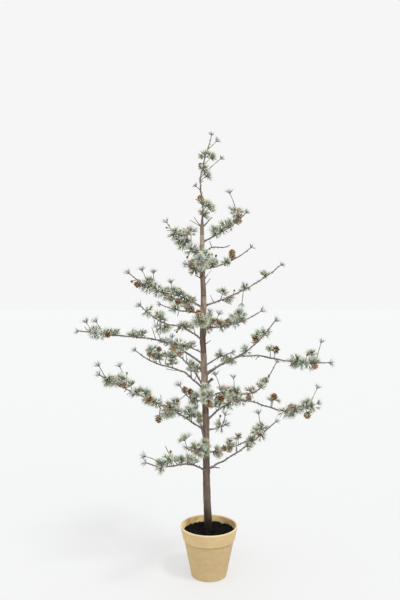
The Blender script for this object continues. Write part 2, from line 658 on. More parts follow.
# Buds on bare stalks, and bare spikes that end in a tip of dull wood, as seen in the photograph:
# bough, share of its reach, share over which it ends, height there
BUDS = (
    (2, 0.60, 0.62, 0.050), (6, 0.69, 0.74, 0.038), (7, 0.77, 0.76, 0.056), (10, 0.77, 1.04, -0.062),
    (13, 0.19, 0.16, 0.061), (20, 0.38, 0.43, -0.018), (24, 0.37, 0.38, 0.012), (28, 0.22, 0.20, 0.047),
    (28, 0.28, 0.28, 0.037), (28, 0.42, 0.44, -0.003), (30, 0.32, 0.40, -0.035), (30, 0.89, 0.98, -0.017),
    (25, 0.90, 0.95, -0.016), (14, 0.81, 0.82, 0.028), (5, 0.44, 0.46, 0.030), (12, 0.58, 0.60, 0.026),
    (19, 0.60, 0.62, 0.028), (26, 0.64, 0.66, 0.020), (9, 0.60, 0.62, 0.022), (21, 0.52, 0.54, 0.020),
)
BUD_SCALE = (0.34, 0.46)
SPIKES = (
    (2, 0.50, 0.70, 0.075), (17, 0.38, 0.41, 0.045), (17, 0.33, 0.39, 0.076), (27, 0.75, 1.05, -0.012),
    (27, 0.28, 0.83, -0.028), (24, 0.23, 0.34, -0.034), (24, 0.13, 0.09, 0.031), (13, 0.34, 0.53, -0.011),
    (20, 0.74, 0.76, -0.044), (20, 0.71, 0.71, -0.049), (8, 0.38, 0.38, 0.026), (7, 0.43, 0.44, 0.035),
    (14, 0.43, 0.41, -0.014), (32, 0.35, 0.28, 0.025), (1, 0.45, 0.45, 0.060), (11, 0.49, 0.44, 0.022),
    (5, 0.58, 0.60, 0.040), (12, 0.48, 0.50, 0.038), (19, 0.64, 0.66, 0.030),
)
BARE_TWIGS_IN_MASS = 2
BARE_TWIG = (0.012, 0.028)

# Cones: overlapping scales in a spiral
CONE_SCALES = 24
GOLDEN_ANGLE = 137.508
SCALE_WIDTH = 0.0095
SCALE_LENGTH = 0.0092
SCALE_THICKNESS = 0.0007
CONE_SCALES_PROUD = 0.0035
TIP_SCALES_FROM = 0.70
TIP_SCALES_LEAN = 12.0

# Bed of shreds
BED_RINGS = 26
BED_SIDES = 96
BED_LUMP = 0.014
BED_RISE = 0.0070
BED_AGAINST_WALL = 0.005
BED_GAP = 0.0004
BED_DEPTH = 0.045
SHREDS = 1500
SHRED_LENGTHS = (0.004, 0.013)
SHRED_HALF_WIDTHS = (0.0009, 0.0022)

# Pot
POT_SIDES = 160
POT_RING = 0.003
TURNING_DEPTH = 0.00018
TURNING_SPACING = 0.009
POT_SWELL = 0.0004
GROOVE_DEPTH = 0.0012

# Needle families: name, body and frosted end as sRGB, and their share of the brushes
FAMILIES = (
    ("sage", "#adb998", "#e7eed9", 5),
    ("deep_sage", "#778463", "#b5c2a1", 3),
    ("blue_sage", "#a6b8a6", "#e0ebdb", 3),
    ("moss", "#9a9b73", "#d6d8b2", 3),
    ("grey_frost", "#cbd3c2", "#f1f6ea", 5),
    ("faded_tan", "#ae9a80", "#e6d7be", 3),
    ("winter_grey", "#a4a8a5", "#dfe2de", 0),
)
TIP_FAMILY = 6
# Boughs whose needles stand thicker or thinner than the others'
FULLNESS = {"02": 1.12, "03": 1.25, "07": 1.22, "08": 0.86, "13": 1.16, "22": 0.90, "33": 0.86}


def linear(hex_colour):
    """An sRGB hex colour as linear red, green, blue and alpha."""
    channels = [int(hex_colour[i:i + 2], 16) / 255 for i in (1, 3, 5)]
    return tuple(c / 12.92 if c <= 0.04045 else ((c + 0.055) / 1.055) ** 2.4 for c in channels) + (1.0,)


def put(tree, kind, inputs=(), stops=(), **settings):
    """Add a node with its settings. An input that is a socket is linked, any other is set."""
    node = tree.nodes.new(kind)
    for key, value in settings.items():
        setattr(node, key, value)
    for key, value in dict(inputs).items():
        if isinstance(value, bpy.types.NodeSocket):
            tree.links.new(value, node.inputs[key])
        else:
            node.inputs[key].default_value = value
    for number, (place, colour) in enumerate(stops):
        stop = node.color_ramp.elements[number] if number < 2 else node.color_ramp.elements.new(place)
        stop.position = place
        stop.color = linear(colour)
    return node


def blank(name, roughness, specular=0.3):
    """A new material: its node tree and its shader."""
    material = bpy.data.materials.new(name)
    material.use_nodes = True
    shader = material.node_tree.nodes["Principled BSDF"]
    shader.inputs["Roughness"].default_value = roughness
    shader.inputs["Specular IOR Level"].default_value = specular
    return material, material.node_tree, shader


def plain(name, colour, roughness, specular=0.3, sheen=0.0):
    """A material of one base colour, for small things that are told apart by their own colours."""
    material, _, shader = blank(name, roughness, specular)
    shader.inputs["Base Color"].default_value = linear(colour)
    shader.inputs["Sheen Weight"].default_value = sheen
    material.diffuse_color = linear(colour)
    return material


def wrapped_bark(name, stretch, stops, foot=None):
    """Crepe paper printed and pressed as bark: dull, streaked along the limb and finely wrinkled."""
    material, tree, shader = blank(name, 0.86, 0.22)
    place = put(tree, "ShaderNodeTexCoord").outputs["Object"]
    streaks = put(tree, "ShaderNodeMapping", {"Vector": place, "Scale": (1, 1, stretch)}).outputs[0]
    broad = put(tree, "ShaderNodeTexNoise", {"Vector": streaks, "Scale": 1 / 0.009, "Detail": 5.0,
                                             "Roughness": 0.62})
    ramp = put(tree, "ShaderNodeValToRGB", {"Fac": broad.outputs["Fac"]}, stops)
    colour = ramp.outputs["Color"]
    if foot:
        height = put(tree, "ShaderNodeSeparateXYZ", {"Vector": place}).outputs["Z"]
        low = put(tree, "ShaderNodeMapRange", {"Value": height, "From Min": 0.215, "From Max": 0.285,
                                               "To Min": 1.0, "To Max": 0.0}).outputs[0]
        colour = put(tree, "ShaderNodeMix", {"Factor": low, "A": colour, "B": linear(foot)},
                     data_type="RGBA", blend_type="MIX").outputs["Result"]
    tree.links.new(colour, shader.inputs["Base Color"])
    fine = put(tree, "ShaderNodeTexNoise", {"Vector": streaks, "Scale": 1 / 0.0022, "Detail": 3.0})
    bump = put(tree, "ShaderNodeBump", {"Height": fine.outputs["Fac"], "Distance": 0.0006, "Strength": 0.8})
    tree.links.new(bump.outputs["Normal"], shader.inputs["Normal"])
    return material


def fibre_clay(name, stops, grain, left=1.0, right=1.0):
    """Sand and paper fibre moulded and left raw: chalky, clouded in patches and faintly grained.

    left and right say how light it is at the pot's two sides, where the damp has stained it.
    """
    material, tree, shader = blank(name, 0.88, 0.25)
    place = put(tree, "ShaderNodeTexCoord").outputs["Object"]
    flat = put(tree, "ShaderNodeMapping", {"Vector": place, "Scale": (1, 1, 2.2)}).outputs[0]
    clouds = put(tree, "ShaderNodeTexNoise", {"Vector": flat, "Scale": 1 / 0.045, "Detail": 6.0,
                                              "Roughness": 0.68})
    ramp = put(tree, "ShaderNodeValToRGB", {"Fac": clouds.outputs["Fac"]}, stops)
    specks = put(tree, "ShaderNodeTexNoise", {"Vector": place, "Scale": 1 / 0.0016, "Detail": 2.0})
    speck = put(tree, "ShaderNodeMapRange", {"Value": specks.outputs["Fac"], "From Min": 0.3, "From Max": 0.7,
                                             "To Min": 1 - grain, "To Max": 1 + grain}).outputs[0]
    across = put(tree, "ShaderNodeSeparateXYZ", {"Vector": place}).outputs["X"]
    stain = put(tree, "ShaderNodeMapRange", {"Value": across, "From Min": -POT_RIM_RADIUS,
                                             "From Max": POT_RIM_RADIUS, "To Min": left, "To Max": right}).outputs[0]
    tone = put(tree, "ShaderNodeMath", {0: speck, 1: stain}, operation="MULTIPLY").outputs[0]
    colour = put(tree, "ShaderNodeMix", {"Factor": 1.0, "A": ramp.outputs["Color"], "B": tone},
                 data_type="RGBA", blend_type="MULTIPLY").outputs["Result"]
    tree.links.new(colour, shader.inputs["Base Color"])
    bump = put(tree, "ShaderNodeBump", {"Height": specks.outputs["Fac"], "Distance": 0.0004, "Strength": 0.5})
    tree.links.new(bump.outputs["Normal"], shader.inputs["Normal"])
    return material


class Pile:
    """Triangles gathered for one mesh, each with the number of its material."""

    def __init__(self):
        self.points, self.triangles, self.slots = [], [], []
        self.count = 0

    def add(self, points, triangles, slots=0):
        points = np.asarray(points, float).reshape(-1, 3)
        triangles = np.asarray(triangles, int).reshape(-1, 3)
        self.points.append(points)
        self.triangles.append(triangles + self.count)
        self.slots.append(np.broadcast_to(slots, len(triangles)))
        self.count += len(points)


def piece_from(name, pile, materials, nodes=()):
    """The pile as one piece that rides on the plant and stands for these nodes."""
    points, triangles = np.concatenate(pile.points), np.concatenate(pile.triangles)
    mesh = bpy.data.meshes.new(name)
    mesh.vertices.add(len(points))
    mesh.vertices.foreach_set("co", points.astype(np.float32).ravel())
    mesh.loops.add(triangles.size)
    mesh.loops.foreach_set("vertex_index", triangles.astype(np.int32).ravel())
    mesh.polygons.add(len(triangles))
    mesh.polygons.foreach_set("loop_start", np.arange(0, triangles.size, 3, dtype=np.int32))
    mesh.polygons.foreach_set("material_index", np.concatenate(pile.slots).astype(np.int32))
    mesh.update(calc_edges=True)
    mesh.validate()
    mesh.shade_smooth()
    for material in materials:
        mesh.materials.append(material)
    piece = bpy.data.objects.new(name, mesh)
    bpy.context.scene.collection.objects.link(piece)
    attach(piece, "root")
    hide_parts(*nodes)
    return piece


def unit(rows):
    return rows / np.maximum(np.linalg.norm(rows, axis=-1, keepdims=True), 1e-12)


def grid_triangles(rings, sides):
    """Triangles of a closed grid of rings, facing outwards."""
    ring, side = np.meshgrid(np.arange(rings - 1), np.arange(sides), indexing="ij")
    low, low_next = ring * sides + side, ring * sides + (side + 1) % sides
    high, high_next = low + sides, low_next + sides
    return np.concatenate([np.stack([low, low_next, high_next], -1).reshape(-1, 3),
                           np.stack([low, high_next, high], -1).reshape(-1, 3)])


def fans(rings, sides):
    """Triangles of the two end caps, round two centre points that follow the rings."""
    side = np.arange(sides)
    ahead = (side + 1) % sides
    last = (rings - 1) * sides
    foot, head = rings * sides, rings * sides + 1
    return np.concatenate([np.stack([np.full(sides, foot), ahead, side], -1),
                           np.stack([np.full(sides, head), last + side, last + ahead], -1)])


def frames_along(line, start):
    """Two vectors square to a line at each point, carried along it without twist."""
    tangents = unit(np.gradient(line, axis=0))
    first = np.empty_like(line)
    carried = np.asarray(start, float)
    for i, tangent in enumerate(tangents):
        carried = carried - tangent * (carried @ tangent)
        carried = carried / np.linalg.norm(carried)
        first[i] = carried
    return first, np.cross(tangents, first)


def tube(pile, line, radii, sides, slots=0, start=(0.37, 0.21, 0.9)):
    """A closed tube. radii is one number for each ring, or a row of them round it."""
    line = np.asarray([tuple(point) for point in line])
    radii = np.asarray(radii, float)
    radii = radii[:, None] * np.ones(sides) if radii.ndim == 1 else radii
    first, second = frames_along(line, start)
    angles = np.arange(sides) * 2 * math.pi / sides
    rings = (line[:, None, :] + radii[:, :, None] * (np.cos(angles)[:, None] * first[:, None, :]
                                                     + np.sin(angles)[:, None] * second[:, None, :]))
    points = np.concatenate([rings.reshape(-1, 3), line[:1], line[-1:]])
    walls = grid_triangles(len(line), sides)
    if np.ndim(slots):
        slots = np.concatenate([np.tile(np.repeat(slots[:-1], sides), 2), np.full(2 * sides, slots[0])])
    pile.add(points, np.concatenate([walls, fans(len(line), sides)]), slots)


def grain(*place):
    return noise.noise(Vector(place))


def crook(limb, share, seed):
    """The small bends of a wired limb, none at its two ends."""
    along = limb.length * share
    fade = min(1.0, along / CROOK_LENGTH, (limb.length - along) / CROOK_LENGTH)
    turn = along / CROOK_LENGTH
    return Vector((grain(turn, seed, 0), grain(turn, seed, 7), grain(turn, seed, 14))) * (2 * CROOK * max(fade, 0))


def make_limb(pile, limb, seed, low=0.0, knotted=True):
    """A bough or the leader with its stem, from the trunk to the tip, in bark with knuckles."""
    count = max(6, round(limb.length * (1 - low) / LIMB_RING))
    shares = np.linspace(low, 1.0, count + 1)
    line = [limb.point(share) + crook(limb, share, seed) for share in shares]
    rng = random.Random(seed)
    knuckles, at = [], rng.uniform(0.2, 1.0) * KNUCKLE_SPACING
    while at < limb.length:
        knuckles.append(at)
        at += KNUCKLE_SPACING * rng.uniform(0.6, 1.5)
    knuckles = np.array(knuckles)
    radii = []
    for share in shares:
        along = limb.length * share
        ring = limb.radius(share)
        if knotted:
            past_trunk = max(along - stem_point(limb.row.height)[1], 0.0)
            ring *= 1 + COLLAR_SHARE * math.exp(-past_trunk / COLLAR_LENGTH)
        ring *= 1 + KNUCKLE_SHARE * float(np.sum(np.exp(-((along - knuckles) / KNUCKLE_WIDTH) ** 2)))
        angles = [2 * math.pi * k / LIMB_SIDES for k in range(LIMB_SIDES)]
        radii.append([ring * (1 + RELIEF_SHARE * grain(1.2 * math.cos(a), 1.2 * math.sin(a) + seed,
                                                       along / RELIEF_GRAIN)) for a in angles])
    tube(pile, line, radii, LIMB_SIDES)


def make_spurs(pile, limb, seed, low, slots):
    """Short woody spurs that stand out of a limb on all sides."""
    rng = random.Random(seed)
    along = low * limb.length + 0.5 * SPUR_SPACING
    while along < limb.length - SPUR_SPACING:
        share = along / limb.length
        tangent = limb.tangent(share)
        facing = (around(tangent, rng.uniform(0, 360)) + tangent * rng.uniform(0.2, 1.2)).normalized()
        start = limb.point(share) + crook(limb, share, seed) + facing * limb.radius(share) * 0.5
        end = start + facing * (limb.radius(share) + rng.uniform(*SPUR_LENGTHS))
        radius = SPUR_RADIUS * rng.uniform(0.7, 1.1)
        tube(pile, [start, (start + end) / 2, end], [radius, radius * 0.8, radius * 0.7], 5, rng.choice(slots))
        along += SPUR_SPACING * rng.uniform(0.5, 1.6)


def make_twig(pile, start, end, rng, slot, wide=TWIG_BASE_RADIUS, narrow=TWIG_TIP_RADIUS):
    """A thin twig with a slight bend and rough sides."""
    length = (end - start).length
    count = max(3, round(length / TWIG_RING))
    side = around((end - start).normalized(), rng.uniform(0, 360)) * (length * TWIG_BEND * rng.uniform(0.3, 1.0))
    shares = np.linspace(0, 1, count + 1)
    line = [start.lerp(end, share) + side * (4 * share * (1 - share)) for share in shares]
    radii = [(wide + (narrow - wide) * share) * (1 + TWIG_RELIEF * rng.uniform(-1, 1)) for share in shares]
    tube(pile, line, radii, TWIG_SIDES, slot)


NEEDLE_TRIANGLES = np.array([(0, 1, 4), (0, 4, 3), (1, 2, 5), (1, 5, 4), (2, 0, 3), (2, 3, 5),
                             (2, 1, 0), (3, 4, 6), (4, 5, 6), (5, 3, 6)])
FROSTED = np.array([0, 0, 0, 0, 0, 0, 0, 1, 1, 1])


def make_spray(pile, rng, centre, axis, count, length, half_width, spread, family):
    """Needles that leave one point, from along its axis out to a widest lean."""
    axis = np.asarray(axis)
    level, rise = (np.asarray(v) for v in sideways_of(Vector(axis)))
    lean = np.radians(spread) * np.sqrt(rng.uniform(0.01, 1, count))[:, None]
    turn = rng.uniform(0, 2 * math.pi, count)[:, None]
    facing = np.cos(lean) * axis + np.sin(lean) * (np.cos(turn) * level + np.sin(turn) * rise)
    reach = length * rng.uniform(*NEEDLE_LENGTHS, count)[:, None]
    roll = rng.normal(size=(count, 3))
    side = unit(np.cross(facing, roll))
    other = np.cross(facing, side)
    share = rng.uniform(0.45, 0.7, count)[:, None]
    root = np.asarray(centre) + facing * 0.001
    bend = (axis - facing * (facing @ axis)[:, None]) * reach * NEEDLE_BEND
    middle = root + facing * reach * share + bend
    tip = np.asarray(centre) + facing * reach
    corners = []
    for ring, wide in ((root, 0.6), (middle, 1.0)):
        for k in range(3):
            turn_k = 2 * math.pi * k / 3
            corners.append(ring + half_width * wide * (math.cos(turn_k) * side
                                                       + NEEDLE_FLATNESS * math.sin(turn_k) * other))
    corners.append(tip)
    points = np.stack(corners, axis=1)
    triangles = NEEDLE_TRIANGLES[None] + 7 * np.arange(count)[:, None, None]
    slots = np.tile(FROSTED + 2 * family, count)
    pile.add(points, triangles, slots)


def cone_scale(width, length, thickness):
    """One woody scale, rooted at the origin: it runs along +Z, cupped towards -X, rounded at its end."""
    columns, rows = 5, 4
    outer = []
    for row in range(rows):
        v = row / (rows - 1)
        half = width / 2 * (0.35 + 0.75 * math.sin(math.pi * (0.12 + 0.60 * v)) - 0.30 * v ** 4)
        for column in range(columns):
            u = 2 * column / (columns - 1) - 1
            round_end = length * 0.16 * u * u * v
            outer.append((0.22 * length * v * v - 0.16 * width * u * u, half * u, length * v - round_end))
    outer = np.array(outer)
    inner = outer - (thickness, 0, 0)
    triangles, rims = [], []
    for row in range(rows - 1):
        for column in range(columns - 1):
            a = row * columns + column
            b, c, d = a + 1, a + columns + 1, a + columns
            triangles += [(a, b, c), (a, c, d)]
            rims += [row == rows - 2] * 2
    edge = ([(0, c) for c in range(columns)] + [(r, columns - 1) for r in range(1, rows)]
            + [(rows - 1, c) for c in range(columns - 2, -1, -1)] + [(r, 0) for r in range(rows - 2, 0, -1)])
    edge = [row * columns + column for row, column in edge]
    n = len(outer)
    triangles += [(a + n, c + n, b + n) for a, b, c in list(triangles)]
    rims += rims
    for here, ahead in zip(edge, edge[1:] + edge[:1]):
        triangles += [(here, here + n, ahead + n), (here, ahead + n, ahead)]
        at_end = here >= (rows - 1) * columns and ahead >= (rows - 1) * columns
        rims += [at_end] * 2
    return np.concatenate([outer, inner]), np.array(triangles), np.array(rims)


def make_cone(pile, centre, axis, scale, rng, tone, detail=1.0):
    """A closed larch cone: a core and its overlapping scales, opened a little towards the top."""
    half = CONE_LENGTH / 2 * scale
    shape = scale * (SCALE_WIDTH * (1.25 if detail < 1 else 1.0))
    points, triangles, rims = cone_scale(shape, SCALE_LENGTH * scale, SCALE_THICKNESS * scale)
    foot = centre - axis * half
    turn_up = np.array(turned_to(axis))
    radius = (CONE_RADIUS - CONE_SCALES_PROUD) * scale
    heights = np.linspace(0.02, 0.98, 7)
    core_line = [foot + axis * (2 * half * h) for h in heights]
    core_radii = [radius * 0.86 * math.sin(math.pi * min(max(0.10 + 0.82 * h, 0), 1)) + 0.0008 * scale for h in heights]
    tube(pile, core_line, core_radii, 8, 0)
    count = round(CONE_SCALES * detail)
    for i in range(count):
        v = (i + 0.5) / count
        around_axis = math.radians(GOLDEN_ANGLE * i + rng.uniform(-6, 6))
        belly = radius * math.sin(math.pi * (0.14 + 0.72 * v)) * 0.92
        closed = max(v - TIP_SCALES_FROM, 0) / (1 - TIP_SCALES_FROM)
        open_out = math.radians((34 + 18 * (1 - v)) * (1 - closed) - TIP_SCALES_LEAN * closed + rng.uniform(-8, 10))
        size = (0.72 + 0.40 * math.sin(math.pi * (0.15 + 0.7 * v))) * rng.uniform(0.92, 1.08)
        tilt = np.array(Matrix.Rotation(open_out, 3, "Y"))
        spin = np.array(Matrix.Rotation(around_axis, 3, "Z"))
        local = points * size @ tilt.T + np.array((belly, 0, 2 * half * (0.03 + 0.71 * v)))
        placed = local @ spin.T @ turn_up.T + np.array(foot)
        shade = 1 + (tone + (0 if rng.random() < 0.7 else 1)) % 3
        pile.add(placed, triangles, np.where(rims, 4, shade))


def make_brush(needles, twigs, item, rng, numbers, families, fullness):
    """A full spray with smaller ones round it. They lean out from the same knot of wood."""
    root = item.centre - item.axis * item.root
    tube(twigs, [root, item.centre, item.centre + item.axis * KNOT_RADIUS],
         [KNOT_RADIUS * 0.7, KNOT_RADIUS, KNOT_RADIUS * 0.6], TWIG_SIDES, rng.choice(WOOD))
    make_spray(needles, numbers, item.centre, item.axis, round(BRUSH_NEEDLES * fullness),
               item.needle * BRUSH_REACH, NEEDLE_HALF_WIDTH, BRUSH_SPREAD, rng.choice(families))
    make_spray(needles, numbers, item.centre, item.axis, SHEATH_NEEDLES, SHEATH_LENGTH,
               SHEATH_HALF_WIDTH, BRUSH_SPREAD, len(FAMILIES))
    first = rng.uniform(0, 360)
    for k in range(BESIDE):
        aside = around(item.axis, first + 360 / BESIDE * (k + rng.uniform(-0.2, 0.2)))
        centre = item.centre + aside * rng.uniform(*BESIDE_ASIDE) - item.axis * rng.uniform(*BESIDE_BACK)
        lean = math.radians(rng.uniform(*BESIDE_LEAN))
        axis = item.axis * math.cos(lean) + aside * math.sin(lean)
        tube(twigs, [root.lerp(item.centre, 0.5), root.lerp(centre, 0.8), centre + axis * KNOT_RADIUS],
             [KNOT_RADIUS * 0.5, KNOT_RADIUS * 0.6, KNOT_RADIUS * 0.7], TWIG_SIDES, rng.choice(WOOD))
        make_spray(needles, numbers, centre, axis, round(BESIDE_NEEDLES * fullness),
                   item.needle * rng.uniform(*BESIDE_REACH), NEEDLE_HALF_WIDTH, BESIDE_SPREAD,
                   rng.choice(families))


def make_ruff(needles, item, rng, numbers, families):
    """Sprays of needles round the foot of a cone."""
    foot = item.centre - item.axis * (CONE_LENGTH / 2 * item.scale)
    first = rng.uniform(0, 360)
    for k in range(RUFF):
        aside = around(item.axis, first + 360 / RUFF * (k + rng.uniform(-0.2, 0.2)))
        lean = math.radians(rng.uniform(*RUFF_LEAN))
        make_spray(needles, numbers, foot, item.axis * math.cos(lean) + aside * math.sin(lean), RUFF_NEEDLES,
                   rng.uniform(*RUFF_REACH), NEEDLE_HALF_WIDTH, BESIDE_SPREAD, rng.choice(families))


STOREYS = (("lower", 0, 10), ("middle", 10, 20), ("upper", 20, 33))
WOOD = (0, 1, 2)


def make_bud(twigs, cones, start, end, rng):
    """A small closed bud at the end of a bare stalk."""
    facing = (end - start).normalized()
    make_twig(twigs, start, end, rng, rng.choice(WOOD))
    scale = rng.uniform(*BUD_SCALE)
    make_cone(cones, end + facing * (CONE_LENGTH / 2 * scale), facing, scale, rng, 2, detail=0.5)


def make_spike(twigs, start, end, rng):
    """A bare twig with a blunt tip of dull wood."""
    facing = (end - start).normalized()
    make_twig(twigs, start, end, rng, rng.choice(WOOD))
    tube(twigs, [end - facing * 0.001, end + facing * 0.0012, end + facing * 0.0036],
         [0.0011, 0.0021, 0.0008], TWIG_SIDES, 2)


def dress_mass(limb, items, seed, needles, twigs, cones):
    """Needles, twigs and cones for everything that one mass grows."""
    rng = random.Random(seed)
    numbers = np.random.default_rng(seed)
    families = [index for index, family in enumerate(FAMILIES) for _ in range(family[3])]
    fullness = FULLNESS.get(limb.name, 1.0)
    for item in items:
        if isinstance(item, Twig):
            make_twig(twigs, item.start, item.end, rng, rng.choice(WOOD))
        elif isinstance(item, Rosette):
            make_brush(needles, twigs, item, rng, numbers, families, fullness)
        elif isinstance(item, Tuft):
            foot = item.centre - item.axis * 0.004
            tube(twigs, [foot, item.centre, item.centre + item.axis * 0.003], [0.0013, 0.0024, 0.0010],
                 TWIG_SIDES, 2)
            make_spray(needles, numbers, item.centre, item.axis, TUFT_NEEDLES, item.needle * TUFT_REACH,
                       TUFT_HALF_WIDTH, TUFT_SPREAD, TIP_FAMILY)
        else:
            make_cone(cones, item.centre, item.axis, item.scale, rng, rng.randrange(3))
            make_ruff(needles, item, rng, numbers, families)
    for _ in range(BARE_TWIGS_IN_MASS):
        share = rng.uniform(max(limb.bare, 0.15), 0.95)
        facing = around(limb.tangent(share), rng.uniform(0, 360)) + limb.tangent(share) * rng.uniform(0.3, 1.0)
        start = limb.point(share)
        make_spike(twigs, start, start + facing.normalized() * rng.uniform(*BARE_TWIG), rng)


def make_trunk(limbs, materials):
    """The trunk: wrapped lengths of bark with plates, joints and knots at the boughs."""
    foot = SOIL_TOP - TRUNK_SUNK
    count = round((FORK_HEIGHT - foot) / TRUNK_RING)
    heights = np.linspace(foot, FORK_HEIGHT, count + 1)
    rng = random.Random(71)
    joints = [(at, rng.uniform(0, 2 * math.pi), rng.uniform(-1, 1)) for at, _ in WRAPS[1:]]
    knots = [(limb.row.height, math.radians(limb.row.azimuth), limb.base_radius / 0.005) for limb in limbs]
    line, radii, slots = [], [], []
    for height in heights:
        centre, radius = stem_point(float(height))
        line.append(centre)
        below = sum(1 for joint in joints if joint[0] < height)
        step = WRAP_STEP * grain(below * 3.7, 0.5, 0.5) * 2
        row = []
        for k in range(TRUNK_SIDES):
            a = 2 * math.pi * k / TRUNK_SIDES
            x, y = math.cos(a), math.sin(a)
            out = radius + step
            plates = grain(x * radius / PLATE_WIDTH, y * radius / PLATE_WIDTH, height / PLATE_HEIGHT)
            out += PLATE_DEPTH * (1 - 2.2 * abs(plates))
            out += LUMP_DEPTH * grain(x * radius / LUMP_SIZE + 5, y * radius / LUMP_SIZE, height / LUMP_SIZE)
            out += 0.4 * PLATE_DEPTH * grain(x * 6, y * 6, height / 0.006)
            for place, facing, slant in joints:
                away = (height - place - 0.003 * slant * math.cos(a - facing)) / JOINT_WIDTH
                if abs(away) < 3:
                    out -= JOINT_DEPTH * math.exp(-away * away) * (0.5 + 0.5 * math.cos(a - facing) ** 2)
            for place, facing, size in knots:
                rise = (height - place + 0.004) / KNOT_HEIGHT
                if abs(rise) < 3:
                    turn = (a - facing + math.pi) % (2 * math.pi) - math.pi
                    out += KNOT_DEPTH * size * math.exp(-rise * rise - (turn * radius / KNOT_WIDTH) ** 2)
            row.append(out)
        radii.append(row)
        dark = min(abs(height - place) for place in DARK_JOINTS) < TRUNK_RING * 0.5
        slots.append(4 if dark else WRAPS[below][1])
    pile = Pile()
    tube(pile, line, radii, TRUNK_SIDES, np.array(slots), start=(1, 0, 0))
    piece_from("trunk_bark", pile, materials, ["trunk"])


# Stubs and spikes on the trunk: height, azimuth, lean, length, radius at the root and at the tip
STUBS = (
    (1.196, 10, 40, 0.042, 0.0014, 0.0006),
    (1.187, 30, 34, 0.026, 0.0014, 0.0006),
    (1.166, 352, 36, 0.033, 0.0019, 0.0012),
    (1.198, 178, 60, 0.022, 0.0030, 0.0016),
    (0.930, 352, 55, 0.024, 0.0022, 0.0014),
    (0.762, 342, 42, 0.036, 0.0066, 0.0056),
    (0.690, 160, 60, 0.022, 0.0024, 0.0016),
    (1.012, 205, 55, 0.022, 0.0020, 0.0014),
    (0.560, 95, 58, 0.026, 0.0024, 0.0016),
    (0.880, 262, 50, 0.020, 0.0020, 0.0014),
    (1.408, 12, 42, 0.050, 0.0030, 0.0016),
    (1.412, 172, 38, 0.042, 0.0024, 0.0012),
    (1.410, 196, 62, 0.046, 0.0022, 0.0012),
    (0.428, 350, 84, 0.040, 0.0030, 0.0018),
)


def make_stubs(materials):
    pile = Pile()
    rng = random.Random(31)
    for height, azimuth, lean, length, wide, narrow in STUBS:
        facing = polar(azimuth, lean)
        start = stem_point(height)[0] + polar(azimuth) * (stem_point(height)[1] * 0.4)
        end = start + facing * (length + 0.006)
        make_twig(pile, start, end, rng, rng.choice(WOOD), wide, narrow)
        tube(pile, [end - facing * 0.002, end, end + facing * 0.003], [narrow, narrow * 1.5, narrow * 0.6], 6, 2)
    piece_from("trunk_stubs", pile, materials)


def bed_height(radius, angle):
    """The bed of shreds: heaped towards the trunk and lumpy."""
    edge = pot_inner(SOIL_EDGE)
    shares = ((0.0, SOIL_TOP), (SOIL_LEVEL_RADIUS, SOIL_TOP), (SOIL_SHOULDER_RADIUS, SOIL_SHOULDER), (edge, SOIL_EDGE))
    plain_height = float(np.interp(radius, [s[0] for s in shares], [s[1] for s in shares]))
    x, y = radius * math.cos(angle), radius * math.sin(angle)
    lumps = grain(x / BED_LUMP, y / BED_LUMP, 3.3) + 0.5 * grain(2.3 * x / BED_LUMP, 2.3 * y / BED_LUMP, 8.1)
    heaped = BED_AGAINST_WALL * (radius / edge) ** 2 * math.cos(angle) ** 2
    return plain_height + heaped + BED_RISE * lumps


def pot_inner(height):
    """Radius inside the pot, whose wall runs parallel to its outer taper."""
    return POT_BASE_RADIUS + POT_SLOPE * height - POT_WALL


POT_SLOPE = (POT_RIM_RADIUS - BAND_PROUD - POT_BASE_RADIUS) / POT_HEIGHT


def make_bed(materials):
    """The bed as a closed body, and loose black shreds lying over it."""
    pile = Pile()
    edge = pot_inner(SOIL_EDGE) - BED_GAP
    sides = BED_SIDES
    rings = []
    low = SOIL_EDGE - BED_DEPTH
    for share in (0.3, 0.7, 1.0):
        radius = (pot_inner(low) - BED_GAP) * share
        rings.append([(radius * math.cos(a), radius * math.sin(a), low)
                      for a in np.arange(sides) * 2 * math.pi / sides])
    for radius in np.linspace(edge, 0.004, BED_RINGS):
        ring = []
        for a in np.arange(sides) * 2 * math.pi / sides:
            ring.append((radius * math.cos(a), radius * math.sin(a), bed_height(radius, a)))
        rings.append(ring)
    points = np.array(rings).reshape(-1, 3)
    centres = np.array([(0, 0, low), (0, 0, bed_height(0.0, 0.0))])
    pile.add(np.concatenate([points, centres]),
             np.concatenate([grid_triangles(len(rings), sides), fans(len(rings), sides)]), 0)
    piece_from("shred_bed", pile, materials, ["soil"])
    loose = Pile()
    rng = random.Random(17)
    for _ in range(SHREDS):
        radius = (edge - 0.006) * math.sqrt(rng.uniform(0.03, 1))
        angle = rng.uniform(0, 2 * math.pi)
        centre = Vector((radius * math.cos(angle), radius * math.sin(angle), bed_height(radius, angle) + 0.0008))
        facing = polar(rng.uniform(0, 360), rng.uniform(55, 100))
        half = facing * rng.uniform(*SHRED_LENGTHS) / 2
        lift = Vector((0, 0, rng.uniform(0.000, 0.003)))
        wide = rng.uniform(*SHRED_HALF_WIDTHS)
        line = [centre - half, centre - half * 0.3 + lift, centre + half * 0.4 + lift * 0.6, centre + half]
        tube(loose, line, [wide * 0.4, wide, wide * 0.9, wide * 0.3], 5, rng.choice((0, 0, 1, 2)))
    piece_from("shreds", loose, materials)


def arc(centre_radius, centre_height, radius, first, last, steps=5):
    """Points of a round edge in the pot's profile, between two angles in degrees."""
    return [(centre_radius + radius * math.cos(math.radians(first + (last - first) * i / steps)),
             centre_height + radius * math.sin(math.radians(first + (last - first) * i / steps)))
            for i in range(steps + 1)]


